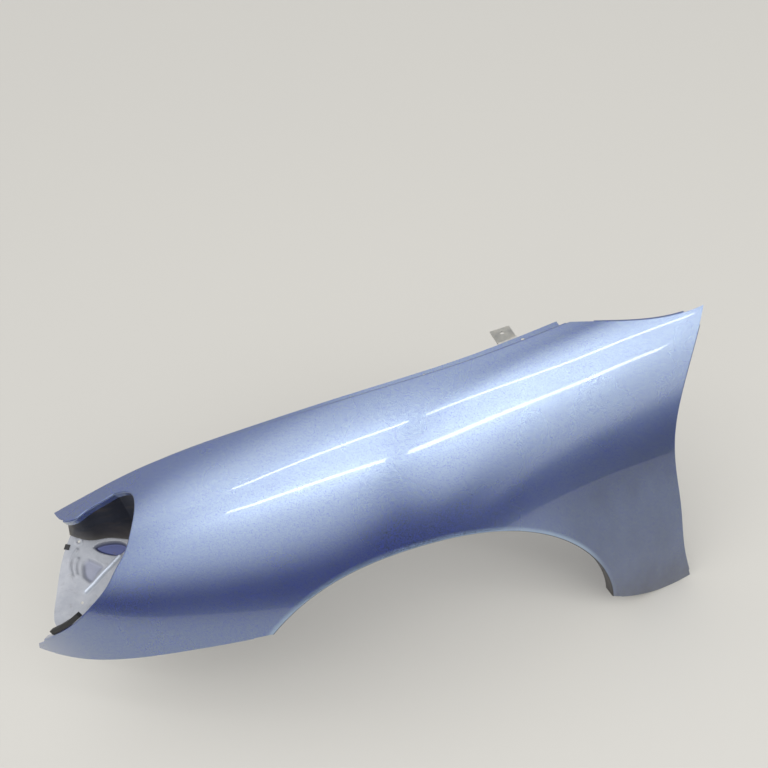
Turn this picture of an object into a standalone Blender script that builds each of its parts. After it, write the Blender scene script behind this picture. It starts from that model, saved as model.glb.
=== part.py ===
# Left front fender panel of a car, seen from its painted side when looking along +Y.
# X runs to the rear of the car, Y inboard and Z up.
# The origin is on the cowl bracket's pad, where it bolts on.
# The skin is one pressed sheet: a smooth crowned surface, trimmed by its edges, with every edge turned.
import math

import bmesh
import bpy
import numpy as np
from mathutils import Vector

for old in list(bpy.data.objects):
    bpy.data.objects.remove(old, do_unlink=True)

# Driving sizes, in metres
panel_length = 1.310        # nose corner to pillar tip
panel_height = 0.585        # foot to hood edge
panel_depth = 0.520         # widest point of the side to the hood edge at the nose
arch_radius = 0.363
arch_centre_height = 0.049
sheet = 0.0009
bend_radius = 0.0030
hood_wall = 0.0170          # drop from the hood edge to the bolting flange
hood_flange = 0.0200
cowl_return = 0.0160
door_return = 0.0140
arch_lip = 0.0200
foot_flange = 0.0180
seam_flange = 0.0170
lamp_return = 0.0090
bolt_hole = 0.0070          # diameter of the bolt holes
screw_hole = 0.0050
seat_gap = 0.0003           # left between pieces that touch
cut_overrun = 0.0060        # how far a cutter stands out of what it cuts
tray_sheet = 0.0011
tray_slope_deg = 22.4       # rise of the lamp tray towards the car's middle
tray_fall_deg = 7.6         # and its fall towards the rear
wall_seam = 0.0110          # width of the side wall's foot, which lies on the tray
wall_flare = 0.0240         # how far that wall leans inboard at the nose
wall_lead = 0.0165          # how far the wall's foot runs forward at the nose
wall_drop = 0.0040          # and back towards the skin
front_bulge = 0.0310        # how far the pan's free edge stands forward of its two ends
pocket_depth = 0.0070
ridge_height = 0.0022
bracket_sheet = 0.0018
bracket_leg = 0.0065
bracket_pad = 0.0340
packing_width = 0.0090
packing_height = 0.0080
packing_gap = 0.0005
clip_width = 0.0100
clip_reach = 0.0070
clip_sheet = 0.0012
nut_width = 0.0140
nut_length = 0.0130
nut_sheet = 0.0008

# Sections of the crowned surface, at stations along the length measured from the wheel's centre
station_shares = (-0.611, -0.458, -0.305, -0.153, 0.0, 0.153, 0.305, 0.458)
edge_inset_shares = (0.994, 0.858, 0.760, 0.656, 0.554, 0.506, 0.531, 0.569)
edge_height_shares = (0.446, 0.615, 0.776, 0.880, 0.962, 0.997, 0.997, 0.986)
side_inset_shares = (0.723, 0.325, 0.133, 0.035, 0.002, 0.044, 0.090, 0.115)
edge_rise_deg = (13.8, 9.0, 4.1, -1.4, -5.9, -8.8, -11.1, -12.0)
side_lean_deg = (13.2, 8.7, 4.8, 0.1, -3.5, -3.8, -4.0, -3.8)
crown_reach_shares = (0.337, 0.331, 0.319, 0.296, 0.262, 0.204, 0.177, 0.173)
side_reach_shares = (0.723, 0.738, 0.750, 0.744, 0.709, 0.612, 0.503, 0.383)

# Edges of the panel. Pairs are a share of the length and a share of the way down the section.
hood_edge_shares = (-0.4465, -0.3449, -0.175, 0.225, 0.2878, 0.4733)
cowl_drop_shares = (0.162, 0.202)
door_edge_shares = (0.4733, 0.3939, 0.3870, 0.3939, 0.4122)
door_knot_shares = (0.0, 0.28, 0.56, 0.80, 1.0)
foot_height_shares = (0.027, 0.031, 0.125)
seam_height_shares = (0.335, 0.419, 0.477, 0.521)
nose_share = -0.526
strip_end_shares = ((-0.4465, 0.0), (-0.4440, 0.017), (-0.4405, 0.034), (-0.4370, 0.051))
strip_edge_shares = (
    (-0.4370, 0.051), (-0.4260, 0.078), (-0.4120, 0.091), (-0.3942, 0.078), (-0.3725, 0.0704),
    (-0.3570, 0.0666), (-0.3449, 0.0624))
lamp_edge_shares = (
    (-0.3449, 0.0624), (-0.3324, 0.0717), (-0.3214, 0.0908), (-0.3166, 0.1163), (-0.3160, 0.1569),
    (-0.3189, 0.2017), (-0.3240, 0.2453), (-0.3308, 0.2945), (-0.3425, 0.3583), (-0.3592, 0.4137),
    (-0.3791, 0.4818), (-0.3946, 0.5214), (-0.4098, 0.5556), (-0.4382, 0.6202), (-0.4707, 0.6835),
    (-0.4897, 0.7178), (-0.526, 0.787))

# Cells along each edge
strip_cells = 9
root_cells = 3
side_cells = 22
seam_cells = 13
arch_cells = 28
rear_cells = 3
cowl_cells = 6
wall_cells = 9              # cells of the lamp opening's rear edge that its side wall follows
nose_cells = 3              # cells at the nose left free of the tray
tray_rows = 16
packing_cells = 3
bend_steps = 2
hole_sides = 12
slope_share = 0.0001        # step over which the surface's slope is taken
corner_crowding = 1.35      # sets the cells of the lamp opening closer where it bends most

# Places on the flanges and brackets, as shares of their run
hood_hole_shares = (0.05, 0.22, 0.40, 0.58, 0.76, 0.95)
seam_hole_shares = (0.16, 0.44, 0.72)
arch_hole_shares = (0.10, 0.30, 0.50, 0.70, 0.90)
foot_hole_share = 0.18
bracket_lap_share = 0.45
pad_seat_share = 0.22
pad_hole_share = 0.64

# Lamp tray: its level, where wall and tray end in their last cell, and its pressed forms
tray_height_share = 0.530
tray_inset_share = 0.760
wall_share = 0.80
tray_share = 0.97
seam_share = 0.10
fall_share = 0.09
pocket_share = (0.28, 0.69, 0.09, 0.30)
dish_share = (0.228, 0.33, 0.12, 0.95)
ridge_share = (0.145, 0.028)
edge_share = (0.05, 0.05)
clip_cell = 2
front_knot_shares = (0, 0.20, 0.40, 0.60, 0.80, 0.92, 1.0)
front_bulge_shares = (0, 0.46, 0.735, 0.89, 1.0, 0.70, 0)


def spline(knots, values, at):
    """Natural cubic curve through the knots."""
    k = np.array(knots, float)
    y = np.array(values, float)
    n = len(k)
    h = np.diff(k)
    a = np.eye(n)
    b = np.zeros((n,) + y.shape[1:])
    for i in range(1, n - 1):
        a[i, i - 1], a[i, i], a[i, i + 1] = h[i - 1], 2 * (h[i - 1] + h[i]), h[i]
        b[i] = 6 * ((y[i + 1] - y[i]) / h[i] - (y[i] - y[i - 1]) / h[i - 1])
    m = np.linalg.solve(a, b)
    at = np.asarray(at, float)
    i = np.clip(np.searchsorted(k, at) - 1, 0, n - 2)
    w = (k[i + 1] - at, at - k[i])
    if y.ndim > 1:
        w = (w[0][..., None], w[1][..., None])
        h = h[:, None]
    return ((m[i] * w[0] ** 3 + m[i + 1] * w[1] ** 3) / (6 * h[i])
            + (y[i] / h[i] - m[i] * h[i] / 6) * w[0] + (y[i + 1] / h[i] - m[i + 1] * h[i] / 6) * w[1])


def surface(x, t):
    """Point on the crowned surface at length x and share t of the way from the hood edge down."""
    x, t = np.broadcast_arrays(np.asarray(x, float), np.asarray(t, float))
    s = x / panel_length
    inset = spline(station_shares, edge_inset_shares, s) * panel_depth
    height = spline(station_shares, edge_height_shares, s) * panel_height
    low = spline(station_shares, side_inset_shares, s) * panel_depth
    rise = np.radians(spline(station_shares, edge_rise_deg, s))
    lean = np.radians(spline(station_shares, side_lean_deg, s))
    crown = spline(station_shares, crown_reach_shares, s) * panel_depth
    side = spline(station_shares, side_reach_shares, s) * panel_height
    points = (
        (inset, height),
        (inset - crown * np.cos(rise), height + crown * np.sin(rise)),
        (low + side * np.sin(lean), side * np.cos(lean)),
        (low, np.zeros_like(low)))
    weights = ((1 - t) ** 3, 3 * (1 - t) ** 2 * t, 3 * (1 - t) * t ** 2, t ** 3)
    y = sum(w * p[0] for w, p in zip(weights, points))
    z = sum(w * p[1] for w, p in zip(weights, points))
    return np.stack([x, y, z], -1)


def outward(x, t):
    """Unit normal of the crowned surface, on its painted side."""
    step = panel_length * slope_share
    tiny = slope_share * panel_length / panel_height
    along = surface(x + step, t) - surface(x - step, t)
    down = surface(x, t + tiny) - surface(x, t - tiny)
    n = np.cross(down, along)
    return n / np.linalg.norm(n, axis=-1, keepdims=True)


def share_at_height(x, z):
    """Share of the way down each section at which it comes to height z."""
    low = np.zeros(len(x))
    high = np.full(len(x), 1.1)
    for _ in range(40):
        mid = (low + high) / 2
        above = surface(x, mid)[:, 2] > z
        low = np.where(above, mid, low)
        high = np.where(above, high, mid)
    return (low + high) / 2


def even(count):
    return np.linspace(0, 1, count + 1)


def respaced(pairs, count, crowding=1.0):
    """Points set along a smooth curve through pairs of shares, closer at its start where crowded."""
    p = np.array(pairs, float)
    flat = np.stack([p[:, 0] * panel_length, p[:, 1] * panel_height], -1)
    run = np.concatenate([[0], np.cumsum(np.linalg.norm(np.diff(flat, axis=0), axis=1))])
    dense = spline(run, p, even(400) * run[-1])
    flat = dense * (panel_length, panel_height)
    run = np.concatenate([[0], np.cumsum(np.linalg.norm(np.diff(flat, axis=0), axis=1))])
    at = even(count) ** crowding * run[-1]
    length = np.interp(at, run, dense[:, 0]) * panel_length
    return np.stack([length, np.interp(at, run, dense[:, 1])], -1)


def panel_edges():
    """The four sides of the main panel, as lengths and shares down the section."""
    tip, root, front, rear, cowl, pillar = (s * panel_length for s in hood_edge_shares)
    hood = np.concatenate([
        np.linspace(root, front, seam_cells + 1)[:-1],
        np.linspace(front, rear, arch_cells + 1)[:-1],
        np.linspace(rear, cowl, rear_cells + 1)])
    u = even(cowl_cells)
    top = np.concatenate([
        np.stack([hood, np.zeros_like(hood)], -1),
        np.stack([cowl + (pillar - cowl) * u, cowl_drop_shares[0] * u + cowl_drop_shares[1] * u * (1 - u)],
                 -1)[1:]])
    high = surface(top[-1:, 0], top[-1:, 1])[0, 2]
    low = foot_height_shares[0] * panel_height
    v = even(side_cells + root_cells)
    door_x = spline(door_knot_shares, door_edge_shares, v) * panel_length
    door = np.stack([door_x, share_at_height(door_x, high + (low - high) * v)], -1)
    foot_angle = math.asin((foot_height_shares[2] * panel_height - arch_centre_height) / arch_radius)
    seam_rise = seam_height_shares[-1] * panel_height - arch_centre_height
    seam_angle = math.pi - math.asin(seam_rise / arch_radius)
    a = seam_angle + (foot_angle - seam_angle) * even(arch_cells)
    arch_x = arch_radius * np.cos(a)
    arch = np.stack([arch_x, share_at_height(arch_x, arch_centre_height + arch_radius * np.sin(a))], -1)
    seam_x = nose_share * panel_length + (arch_x[0] - nose_share * panel_length) * even(seam_cells)
    seam_z = spline(np.linspace(0, 1, 4), seam_height_shares, even(seam_cells)) * panel_height
    seam = np.stack([seam_x, share_at_height(seam_x, seam_z)], -1)
    w = even(rear_cells + cowl_cells)
    foot_x = arch_x[-1] + (door_x[-1] - arch_x[-1]) * w
    first, middle, last = (foot_height_shares[i] * panel_height for i in (2, 1, 0))
    foot_z = first * (1 - w) + last * w + 4 * w * (1 - w) * (middle - (first + last) / 2)
    foot = np.stack([foot_x, share_at_height(foot_x, foot_z)], -1)
    bottom = np.concatenate([seam, arch[1:], foot[1:]])
    strip_root = np.stack([np.full(root_cells + 1, root), even(root_cells) * strip_edge_shares[-1][1]], -1)
    lamp = respaced(lamp_edge_shares, side_cells, corner_crowding)
    lamp[-1] = bottom[0]
    return top, door, bottom, np.concatenate([strip_root, lamp[1:]])


def run_shares(side):
    p = surface(side[:, 0], side[:, 1])
    run = np.concatenate([[0], np.cumsum(np.linalg.norm(np.diff(p, axis=0), axis=1))])
    return run / run[-1]


def relaxed(grid):
    """Evens out a grid with its sides held, so that no cell folds over."""
    scale = np.array((1.0, panel_height))
    r = grid * scale
    for _ in range(200):
        along = (r[1:-1, 2:] - r[1:-1, :-2]) / 2
        down = (r[2:, 1:-1] - r[:-2, 1:-1]) / 2
        a = (down * down).sum(-1, keepdims=True)
        b = (along * down).sum(-1, keepdims=True)
        c = (along * along).sum(-1, keepdims=True)
        cross = (r[2:, 2:] - r[2:, :-2] - r[:-2, 2:] + r[:-2, :-2]) / 4
        r[1:-1, 1:-1] = (a * (r[1:-1, 2:] + r[1:-1, :-2]) + c * (r[2:, 1:-1] + r[:-2, 1:-1])
                         - 2 * b * cross) / (2 * (a + c))
    return r / scale


def blended(top, right, bottom, left):
    """Fills a four-sided region between its sides, rows down and columns along."""
    u = (run_shares(top) + run_shares(bottom))[None, :, None] / 2
    v = (run_shares(left) + run_shares(right))[:, None, None] / 2
    grid = ((1 - v) * top[None] + v * bottom[None] + (1 - u) * left[:, None] + u * right[:, None]
            - (1 - u) * (1 - v) * top[0] - u * (1 - v) * top[-1]
            - (1 - u) * v * bottom[0] - u * v * bottom[-1])
    return relaxed(grid)


def material(name, colour, metallic, roughness):
    m = bpy.data.materials.new(name)
    m.use_nodes = True
    shader = m.node_tree.nodes["Principled BSDF"]
    shader.inputs["Base Color"].default_value = (*colour, 1)
    shader.inputs["Metallic"].default_value = metallic
    shader.inputs["Roughness"].default_value = roughness
    m.diffuse_color = (*colour, 1)
    return m


paint = material("fender_paint", (0.36, 0.47, 0.74), 0.6, 0.22)
tray_paint = material("tray_primer", (0.62, 0.63, 0.72), 0.2, 0.45)
wall_paint = material("dark_primer", (0.05, 0.055, 0.09), 0.1, 0.40)
rubber = material("black_rubber", (0.02, 0.02, 0.022), 0.0, 0.70)
zinc = material("plated_steel", (0.55, 0.55, 0.52), 0.9, 0.35)


class Sheet:
    """A folded sheet: points and four-sided faces, later given its thickness."""

    def __init__(self):
        self.points = []
        self.faces = []

    def add(self, rows):
        """Adds rows of points and returns their numbers."""
        numbers = []
        for row in rows:
            numbers.append([len(self.points) + i for i in range(len(row))])
            self.points.extend([Vector(p) for p in row])
        return numbers

    def web(self, rows, flip=False):
        for above, below in zip(rows[:-1], rows[1:]):
            for i in range(len(above) - 1):
                face = [above[i], below[i], below[i + 1], above[i + 1]]
                self.faces.append(face[::-1] if flip else face)

    def build(self, name, paintwork, thickness):
        mesh = bpy.data.meshes.new(name)
        mesh.from_pydata([p - origin for p in self.points], [], self.faces)
        mesh.materials.append(paintwork)
        thing = bpy.data.objects.new(name, mesh)
        bpy.context.collection.objects.link(thing)
        wall = thing.modifiers.new("thickness", "SOLIDIFY")
        wall.thickness = thickness
        wall.offset = -1
        wall.use_even_offset = True
        wall.use_quality_normals = True
        return thing

    def close(self, name, finish):
        """Makes the faces a solid block instead of a sheet."""
        mesh = bpy.data.meshes.new(name)
        mesh.from_pydata([p - origin for p in self.points], [], self.faces)
        shape = bmesh.new()
        shape.from_mesh(mesh)
        bmesh.ops.remove_doubles(shape, verts=shape.verts, dist=seat_gap / 10)
        bmesh.ops.recalc_face_normals(shape, faces=shape.faces)
        shape.to_mesh(mesh)
        shape.free()
        mesh.materials.append(finish)
        thing = bpy.data.objects.new(name, mesh)
        bpy.context.collection.objects.link(thing)
        return thing


def turned(radius, angle, steps):
    """Points of a bend that leaves the surface, as (out along the surface, down through it)."""
    return [(radius * math.sin(angle * i / steps), radius * (1 - math.cos(angle * i / steps)))
            for i in range(1, steps + 1)]


def edge_frames(pairs, inner):
    """Places, normals and outward directions along an edge of the panel."""
    p = surface(pairs[:, 0], pairs[:, 1])
    n = outward(pairs[:, 0], pairs[:, 1])
    tangent = np.gradient(p, axis=0)
    tangent /= np.linalg.norm(tangent, axis=1, keepdims=True)
    away = np.cross(tangent, n)
    away /= np.linalg.norm(away, axis=1, keepdims=True)
    towards = surface(inner[:, 0], inner[:, 1]) - p
    away *= -np.sign((away * towards).sum(1))[:, None]
    return p, n, away


def flange_rows(pairs, inner, profile):
    p, n, away = edge_frames(pairs, inner)
    return [p + away * a - n * d for a, d in profile]


def return_profile(width):
    bend = turned(bend_radius, math.pi / 2, bend_steps)
    return bend + [(bend_radius, bend_radius + width)]


def hood_profile():
    bend = turned(bend_radius, math.pi / 2, bend_steps)
    low = bend_radius + hood_wall
    turn = [math.pi / 2 * i / bend_steps for i in range(bend_steps + 1)]
    corner = [(bend_radius * (2 - math.cos(a)), low + bend_radius * math.sin(a)) for a in turn]
    return bend + corner + [(2 * bend_radius + hood_flange, low + bend_radius)]


top, door, bottom, front = panel_edges()
grid = blended(top, door, bottom, front)
tip_x = hood_edge_shares[0] * panel_length
root_x = hood_edge_shares[1] * panel_length
strip_top = np.stack([np.linspace(tip_x, root_x, strip_cells + 1), np.zeros(strip_cells + 1)], -1)
strip_low = respaced(strip_edge_shares, strip_cells)
strip_front = np.array([(s * panel_length, t) for s, t in strip_end_shares])
strip = blended(strip_top, front[:root_cells + 1], strip_low, strip_front)

skin = Sheet()
main_rows = skin.add([surface(row[:, 0], row[:, 1]) for row in grid])
skin.web(main_rows)
strip_rows = skin.add([surface(row[:-1, 0], row[:-1, 1]) for row in strip])
strip_rows = [row + [main_rows[j][0]] for j, row in enumerate(strip_rows)]
skin.web(strip_rows)


def turn_edge(numbers, pairs, inner, profile, flip=False):
    rows = flange_rows(pairs, inner, profile)
    added = skin.add(rows)
    skin.web([numbers] + added, flip)
    return rows


columns = seam_cells + arch_cells + rear_cells + cowl_cells
corner = columns - cowl_cells
hood_pairs = np.concatenate([strip[0][:-1], grid[0][:corner + 1]])
hood_inner = np.concatenate([strip[1][:-1], grid[1][:corner + 1]])
hood_numbers = strip_rows[0][:-1] + main_rows[0][:corner + 1]
hood_rows = turn_edge(hood_numbers[1:-1], hood_pairs[1:-1], hood_inner[1:-1], hood_profile(), True)
turn_edge(main_rows[0][corner + 1:-1], grid[0][corner + 1:-1], grid[1][corner + 1:-1],
          return_profile(cowl_return), True)
door_numbers = [row[-1] for row in main_rows]
turn_edge(door_numbers[1:-1], grid[1:-1, -1], grid[1:-1, -2], return_profile(door_return), True)
arch_end = seam_cells + arch_cells
low_numbers = main_rows[-1]
seam_rows = turn_edge(low_numbers[1:seam_cells], grid[-1][1:seam_cells], grid[-2][1:seam_cells],
                      return_profile(seam_flange))
arch_rows = turn_edge(low_numbers[seam_cells:arch_end + 1], grid[-1][seam_cells:arch_end + 1],
                      grid[-2][seam_cells:arch_end + 1], return_profile(arch_lip))
foot_rows = turn_edge(low_numbers[arch_end + 1:-1], grid[-1][arch_end + 1:-1], grid[-2][arch_end + 1:-1],
                      return_profile(foot_flange))
lamp_numbers = strip_rows[-1][:-1] + [row[0] for row in main_rows[root_cells:-1]]
lamp_pairs = np.concatenate([strip[-1][:-1], grid[root_cells:-1, 0]])
lamp_inner = np.concatenate([strip[-2][:-1], grid[root_cells:-1, 1]])
turn_edge(lamp_numbers[1:], lamp_pairs[1:], lamp_inner[1:], return_profile(lamp_return))


class Cutter:
    """Round punches through a sheet, joined into one cutting object."""

    def __init__(self):
        self.shape = bmesh.new()

    def punch(self, centre, axis, diameter):
        turn = Vector(axis).to_track_quat("Z", "Y").to_matrix().to_4x4()
        turn.translation = Vector(centre) - origin
        bmesh.ops.create_cone(self.shape, cap_ends=True, segments=hole_sides, radius1=diameter / 2,
                              radius2=diameter / 2, depth=2 * cut_overrun, matrix=turn)

    def apply(self, thing):
        mesh = bpy.data.meshes.new(thing.name + "_holes")
        self.shape.to_mesh(mesh)
        self.shape.free()
        tool = bpy.data.objects.new(thing.name + "_holes", mesh)
        bpy.context.collection.objects.link(tool)
        tool.hide_render = True
        tool.display_type = "WIRE"
        cut = thing.modifiers.new("holes", "BOOLEAN")
        cut.operation = "DIFFERENCE"
        cut.solver = "EXACT"
        cut.object = tool


def middle(rows, share):
    """Centre of a flange's flat, its three directions and its free edge, at a share of its length."""
    at = share * (len(rows[-1]) - 1)
    i = int(min(at, len(rows[-1]) - 2))
    w = at - i
    near = rows[-2][i] * (1 - w) + rows[-2][i + 1] * w
    far = rows[-1][i] * (1 - w) + rows[-1][i + 1] * w
    along = rows[-1][i + 1] - rows[-1][i]
    along /= np.linalg.norm(along)
    reach = (far - near) / np.linalg.norm(far - near)
    normal = np.cross(along, reach)
    return (near + far) / 2, along, reach, normal / np.linalg.norm(normal), far


def bracket(upper, lower, side):
    """A leg against the hidden side of a flange, then a flat pad that reaches inboard."""
    leg = np.concatenate([upper, lower])
    ledge = lower.copy()
    ledge[:, 1] = lower[:, 1].max() + bracket_sheet
    ledge[:, 2] = leg[:, 2].min() - bracket_sheet if side < 0 else lower[:, 2].max() + bracket_sheet
    pad = ledge.copy()
    pad[:, 1] += bracket_pad
    return [upper, lower, ledge, pad]


hood_p, hood_n, hood_away = (f[-5:-2] for f in edge_frames(hood_pairs[1:-1], hood_inner[1:-1]))
hood_under = hood_p - hood_n * (2 * bend_radius + hood_wall + sheet + seat_gap + bracket_sheet)
cowl_rows = bracket(hood_under + hood_away * (2 * bend_radius + hood_flange * bracket_lap_share),
                    hood_under + hood_away * (2 * bend_radius + hood_flange + bend_radius), -1)
foot_pairs = grid[-1][arch_end + 1:-1]
foot_p, foot_n, foot_away = (f[2:5] for f in edge_frames(foot_pairs, grid[-2][arch_end + 1:-1]))
foot_hidden = foot_p + foot_away * (bend_radius - sheet - seat_gap)
foot_start = bend_radius + sheet + seat_gap
sill_rows = bracket(foot_hidden - foot_n * (foot_start + foot_flange * bracket_lap_share),
                    foot_hidden - foot_n * (foot_start + foot_flange + bracket_leg), 1)


def pad_point(rows, share):
    """A place on the flat of a pad, a share of the way from its fold to its free edge."""
    return (rows[2] * (1 - share) + rows[3] * share).mean(0)


origin = Vector(pad_point(cowl_rows, pad_seat_share))

# Lamp bucket: a side wall under the inner strip and a pan below it
lamp_p, lamp_n, lamp_away = edge_frames(lamp_pairs[1:], lamp_inner[1:])
corner_index = strip_cells - 1


def lamp_at(at):
    """Edge place, normal and outward direction at a fractional index along the lamp opening."""
    run = np.arange(len(lamp_p))
    frames = (lamp_p, lamp_n, lamp_away)
    return [np.stack([np.interp(at, run, f[:, k]) for k in range(3)], -1) for f in frames]


def tray_level(x, y):
    front_x = strip_end_shares[-1][0] * panel_length
    return (tray_height_share * panel_height
            - math.tan(math.radians(tray_fall_deg)) * (x - front_x)
            + math.tan(math.radians(tray_slope_deg)) * (y - tray_inset_share * panel_depth))


def bucket_rows(at):
    """Top, flange level and foot of the bucket's wall at places along the opening."""
    p, n, away = lamp_at(at)
    back = away * (bend_radius - sheet - seat_gap)
    upper = p + back - n * (bend_radius + sheet + seat_gap)
    level = p + back - n * (bend_radius + lamp_return + sheet)
    foot = level.copy()
    nose = np.clip(1 - at / nose_cells, 0, 1)
    foot[:, 0] -= wall_lead * nose
    foot[:, 1] += wall_flare * np.clip(1 - at / corner_index, 0, 1) - wall_drop * nose
    foot[:, 2] = tray_level(foot[:, 0], foot[:, 1])
    return upper, level, foot


def plan_out(path):
    """Unit directions away from the bucket's inside, in plan, along a path that runs rearwards."""
    t = np.gradient(path, axis=0)
    out = np.stack([-t[:, 1], t[:, 0], np.zeros(len(t))], -1)
    return out / np.linalg.norm(out, axis=1, keepdims=True)


lift = seat_gap / math.cos(math.radians(tray_slope_deg))
wall_at = np.append(np.arange(corner_index + wall_cells + 1), corner_index + wall_cells + wall_share)
upper, level, foot = bucket_rows(wall_at)
raised = foot + (0, 0, lift)
ledge_reach = np.sqrt(np.cos(np.clip(wall_at - corner_index, 0, None) / (wall_cells + 1) * math.pi / 2))
ledge = raised + plan_out(foot) * wall_seam * ledge_reach[:, None]
ledge[:, 2] = tray_level(ledge[:, 0], ledge[:, 1]) + lift
side_wall = Sheet()
side_wall.web(side_wall.add([upper, level, raised, ledge]))

tray_from = corner_index + wall_cells + tray_share
outer_at = np.append(np.arange(len(lamp_p) - nose_cells, corner_index + wall_cells, -1), tray_from)
outer_upper, outer_level, outer = bucket_rows(outer_at)
tray_columns = len(outer_at) - 1
inboard = bucket_rows(np.linspace(0, corner_index, tray_columns + 1))[2]
inboard = inboard + plan_out(inboard) * wall_seam
rear = bucket_rows(np.linspace(corner_index, tray_from, tray_rows + 1))[2]
rear = rear + plan_out(rear) * wall_seam * np.sqrt(np.cos(even(tray_rows) * math.pi / 2))[:, None]
rear[0] = inboard[-1]
rear[-1] = outer[-1]
v = even(tray_rows)[:, None]
free = inboard[0] * (1 - v) + outer[0] * v
free[:, 0] -= front_bulge * spline(front_knot_shares, front_bulge_shares, even(tray_rows))


def filled(top_side, right, low_side, left):
    u = even(len(top_side) - 1)[None, :, None]
    w = even(len(left) - 1)[:, None, None]
    return ((1 - w) * top_side[None] + w * low_side[None] + (1 - u) * left[:, None] + u * right[:, None]
            - (1 - u) * (1 - w) * top_side[0] - u * (1 - w) * top_side[-1]
            - (1 - u) * w * low_side[0] - u * w * low_side[-1])


def smooth_step(value):
    value = np.clip(value, 0, 1)
    return value * value * (3 - 2 * value)


def pressed(floor):
    """Heights of the pressed forms in the pan: a long pocket, a round dish and a curved ridge."""
    u = even(tray_columns)[None, :]
    w = even(tray_rows)[:, None]
    rises = (u - pocket_share[0], pocket_share[1] - u, w - pocket_share[2], pocket_share[3] - w)
    pocket = math.prod(smooth_step(r / fall_share) for r in rises)
    away = np.hypot(u - dish_share[0], (w - dish_share[1]) * dish_share[3])
    dish = smooth_step((dish_share[2] - away) / fall_share)
    ridge = (np.exp(-((away - ridge_share[0]) / ridge_share[1]) ** 2)
             * smooth_step((dish_share[0] - u) / fall_share))
    clear = (smooth_step((w - seam_share) / fall_share) * smooth_step((1 - seam_share - u) / fall_share)
             * smooth_step((u - edge_share[0]) / edge_share[1]))
    return floor + np.stack([np.zeros_like(pocket), np.zeros_like(pocket),
                             clear * (ridge * ridge_height - (pocket + dish) * pocket_depth)], -1)


floor = filled(inboard, rear, outer, free)
floor[..., 2] = tray_level(floor[..., 0], floor[..., 1])
floor = pressed(floor)
tray = Sheet()
tray.web(tray.add(list(floor) + [outer_level, outer_upper]))


def edge_clip(name, finish, far, frame, host, width, length, gauge):
    """Folds a clip over the free edge of a sheet: along the edge, out of it and off its painted face."""
    along, reach, normal = frame
    half = along * width / 2
    end = far + reach * (seat_gap + gauge)
    near = far - reach * length
    over = normal * (seat_gap + gauge)
    under = -normal * (host + seat_gap + gauge)
    nose = end + reach * gauge + (over + under) / 2
    rows = [near + over, end + over, nose, end + under, near + under]
    clip = Sheet()
    clip.web(clip.add([[r - half, r + half] for r in rows]))
    return clip.build(name, finish, gauge)


for number, share in enumerate(seam_hole_shares, 1):
    centre, along, reach, normal, far = middle(seam_rows, share)
    painted = normal * np.sign((normal * np.array((0, 0, -1))).sum())
    edge_clip("seam_spring_nut_" + str(number), zinc, far, (along, reach, painted), sheet,
              nut_width, nut_length, nut_sheet)

front_edge = floor[:, 0]
place = (front_edge[clip_cell] + front_edge[clip_cell + 1]) / 2
along = front_edge[clip_cell + 1] - front_edge[clip_cell]
along /= np.linalg.norm(along)
face = np.cross(along, floor[clip_cell, 1] - floor[clip_cell, 0])
face /= np.linalg.norm(face)
edge_clip("tray_clip", rubber, place, (along, np.cross(along, face), face), tray_sheet,
          clip_width, clip_reach, clip_sheet)

nose_p, nose_n, nose_away = (f[-packing_cells - 2:-1] for f in (lamp_p, lamp_n, lamp_away))
section = ((0, 0), (1, 0), (1, 1), (0, 1))
rings = [[p + away * (bend_radius + packing_gap + packing_width * a) - n * (bend_radius + packing_height * d)
          for a, d in section] for p, n, away in zip(nose_p, nose_n, nose_away)]
packing = Sheet()
numbers = packing.add([ring + ring[:1] for ring in rings])
packing.web(numbers)
packing.faces += [numbers[0][3::-1], numbers[-1][:4]]
packing.close("corner_packing", rubber)

holes = Cutter()
for rows, shares, size in (
        (hood_rows, hood_hole_shares, bolt_hole),
        (seam_rows, seam_hole_shares, screw_hole),
        (foot_rows, (foot_hole_share,), bolt_hole),
        (arch_rows, arch_hole_shares, screw_hole)):
    for share in shares:
        centre, along, reach, normal, far = middle(rows, share)
        holes.punch(centre, normal, size)

skin_object = skin.build("outer_skin", paint, sheet)
holes.apply(skin_object)

tray.build("lamp_tray", tray_paint, tray_sheet)
side_wall.build("lamp_side_wall", wall_paint, tray_sheet)

for name, rows in (("cowl_bracket", cowl_rows), ("sill_bracket", sill_rows)):
    shape = Sheet()
    shape.web(shape.add(rows))
    plate = shape.build(name, zinc, bracket_sheet)
    hole = Cutter()
    hole.punch(pad_point(rows, pad_hole_share), (0, 0, 1), bolt_hole)
    hole.apply(plate)
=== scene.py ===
import math

import bmesh
import bpy
import numpy as np
from mathutils import Matrix, Vector


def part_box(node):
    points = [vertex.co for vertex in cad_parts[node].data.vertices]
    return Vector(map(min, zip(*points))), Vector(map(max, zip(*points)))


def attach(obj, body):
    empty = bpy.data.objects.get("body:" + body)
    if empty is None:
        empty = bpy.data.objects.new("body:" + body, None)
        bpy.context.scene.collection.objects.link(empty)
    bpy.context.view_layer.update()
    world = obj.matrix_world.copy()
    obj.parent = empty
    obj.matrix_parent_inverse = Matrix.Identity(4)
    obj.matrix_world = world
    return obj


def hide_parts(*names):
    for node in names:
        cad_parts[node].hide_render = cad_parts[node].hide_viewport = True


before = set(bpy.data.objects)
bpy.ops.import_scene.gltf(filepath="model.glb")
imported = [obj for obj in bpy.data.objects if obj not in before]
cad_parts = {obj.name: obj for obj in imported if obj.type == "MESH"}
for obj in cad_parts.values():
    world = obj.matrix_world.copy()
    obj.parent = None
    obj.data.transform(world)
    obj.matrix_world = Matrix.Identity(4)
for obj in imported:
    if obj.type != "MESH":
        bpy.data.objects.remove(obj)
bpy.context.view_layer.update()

print("frame loaded")

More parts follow.
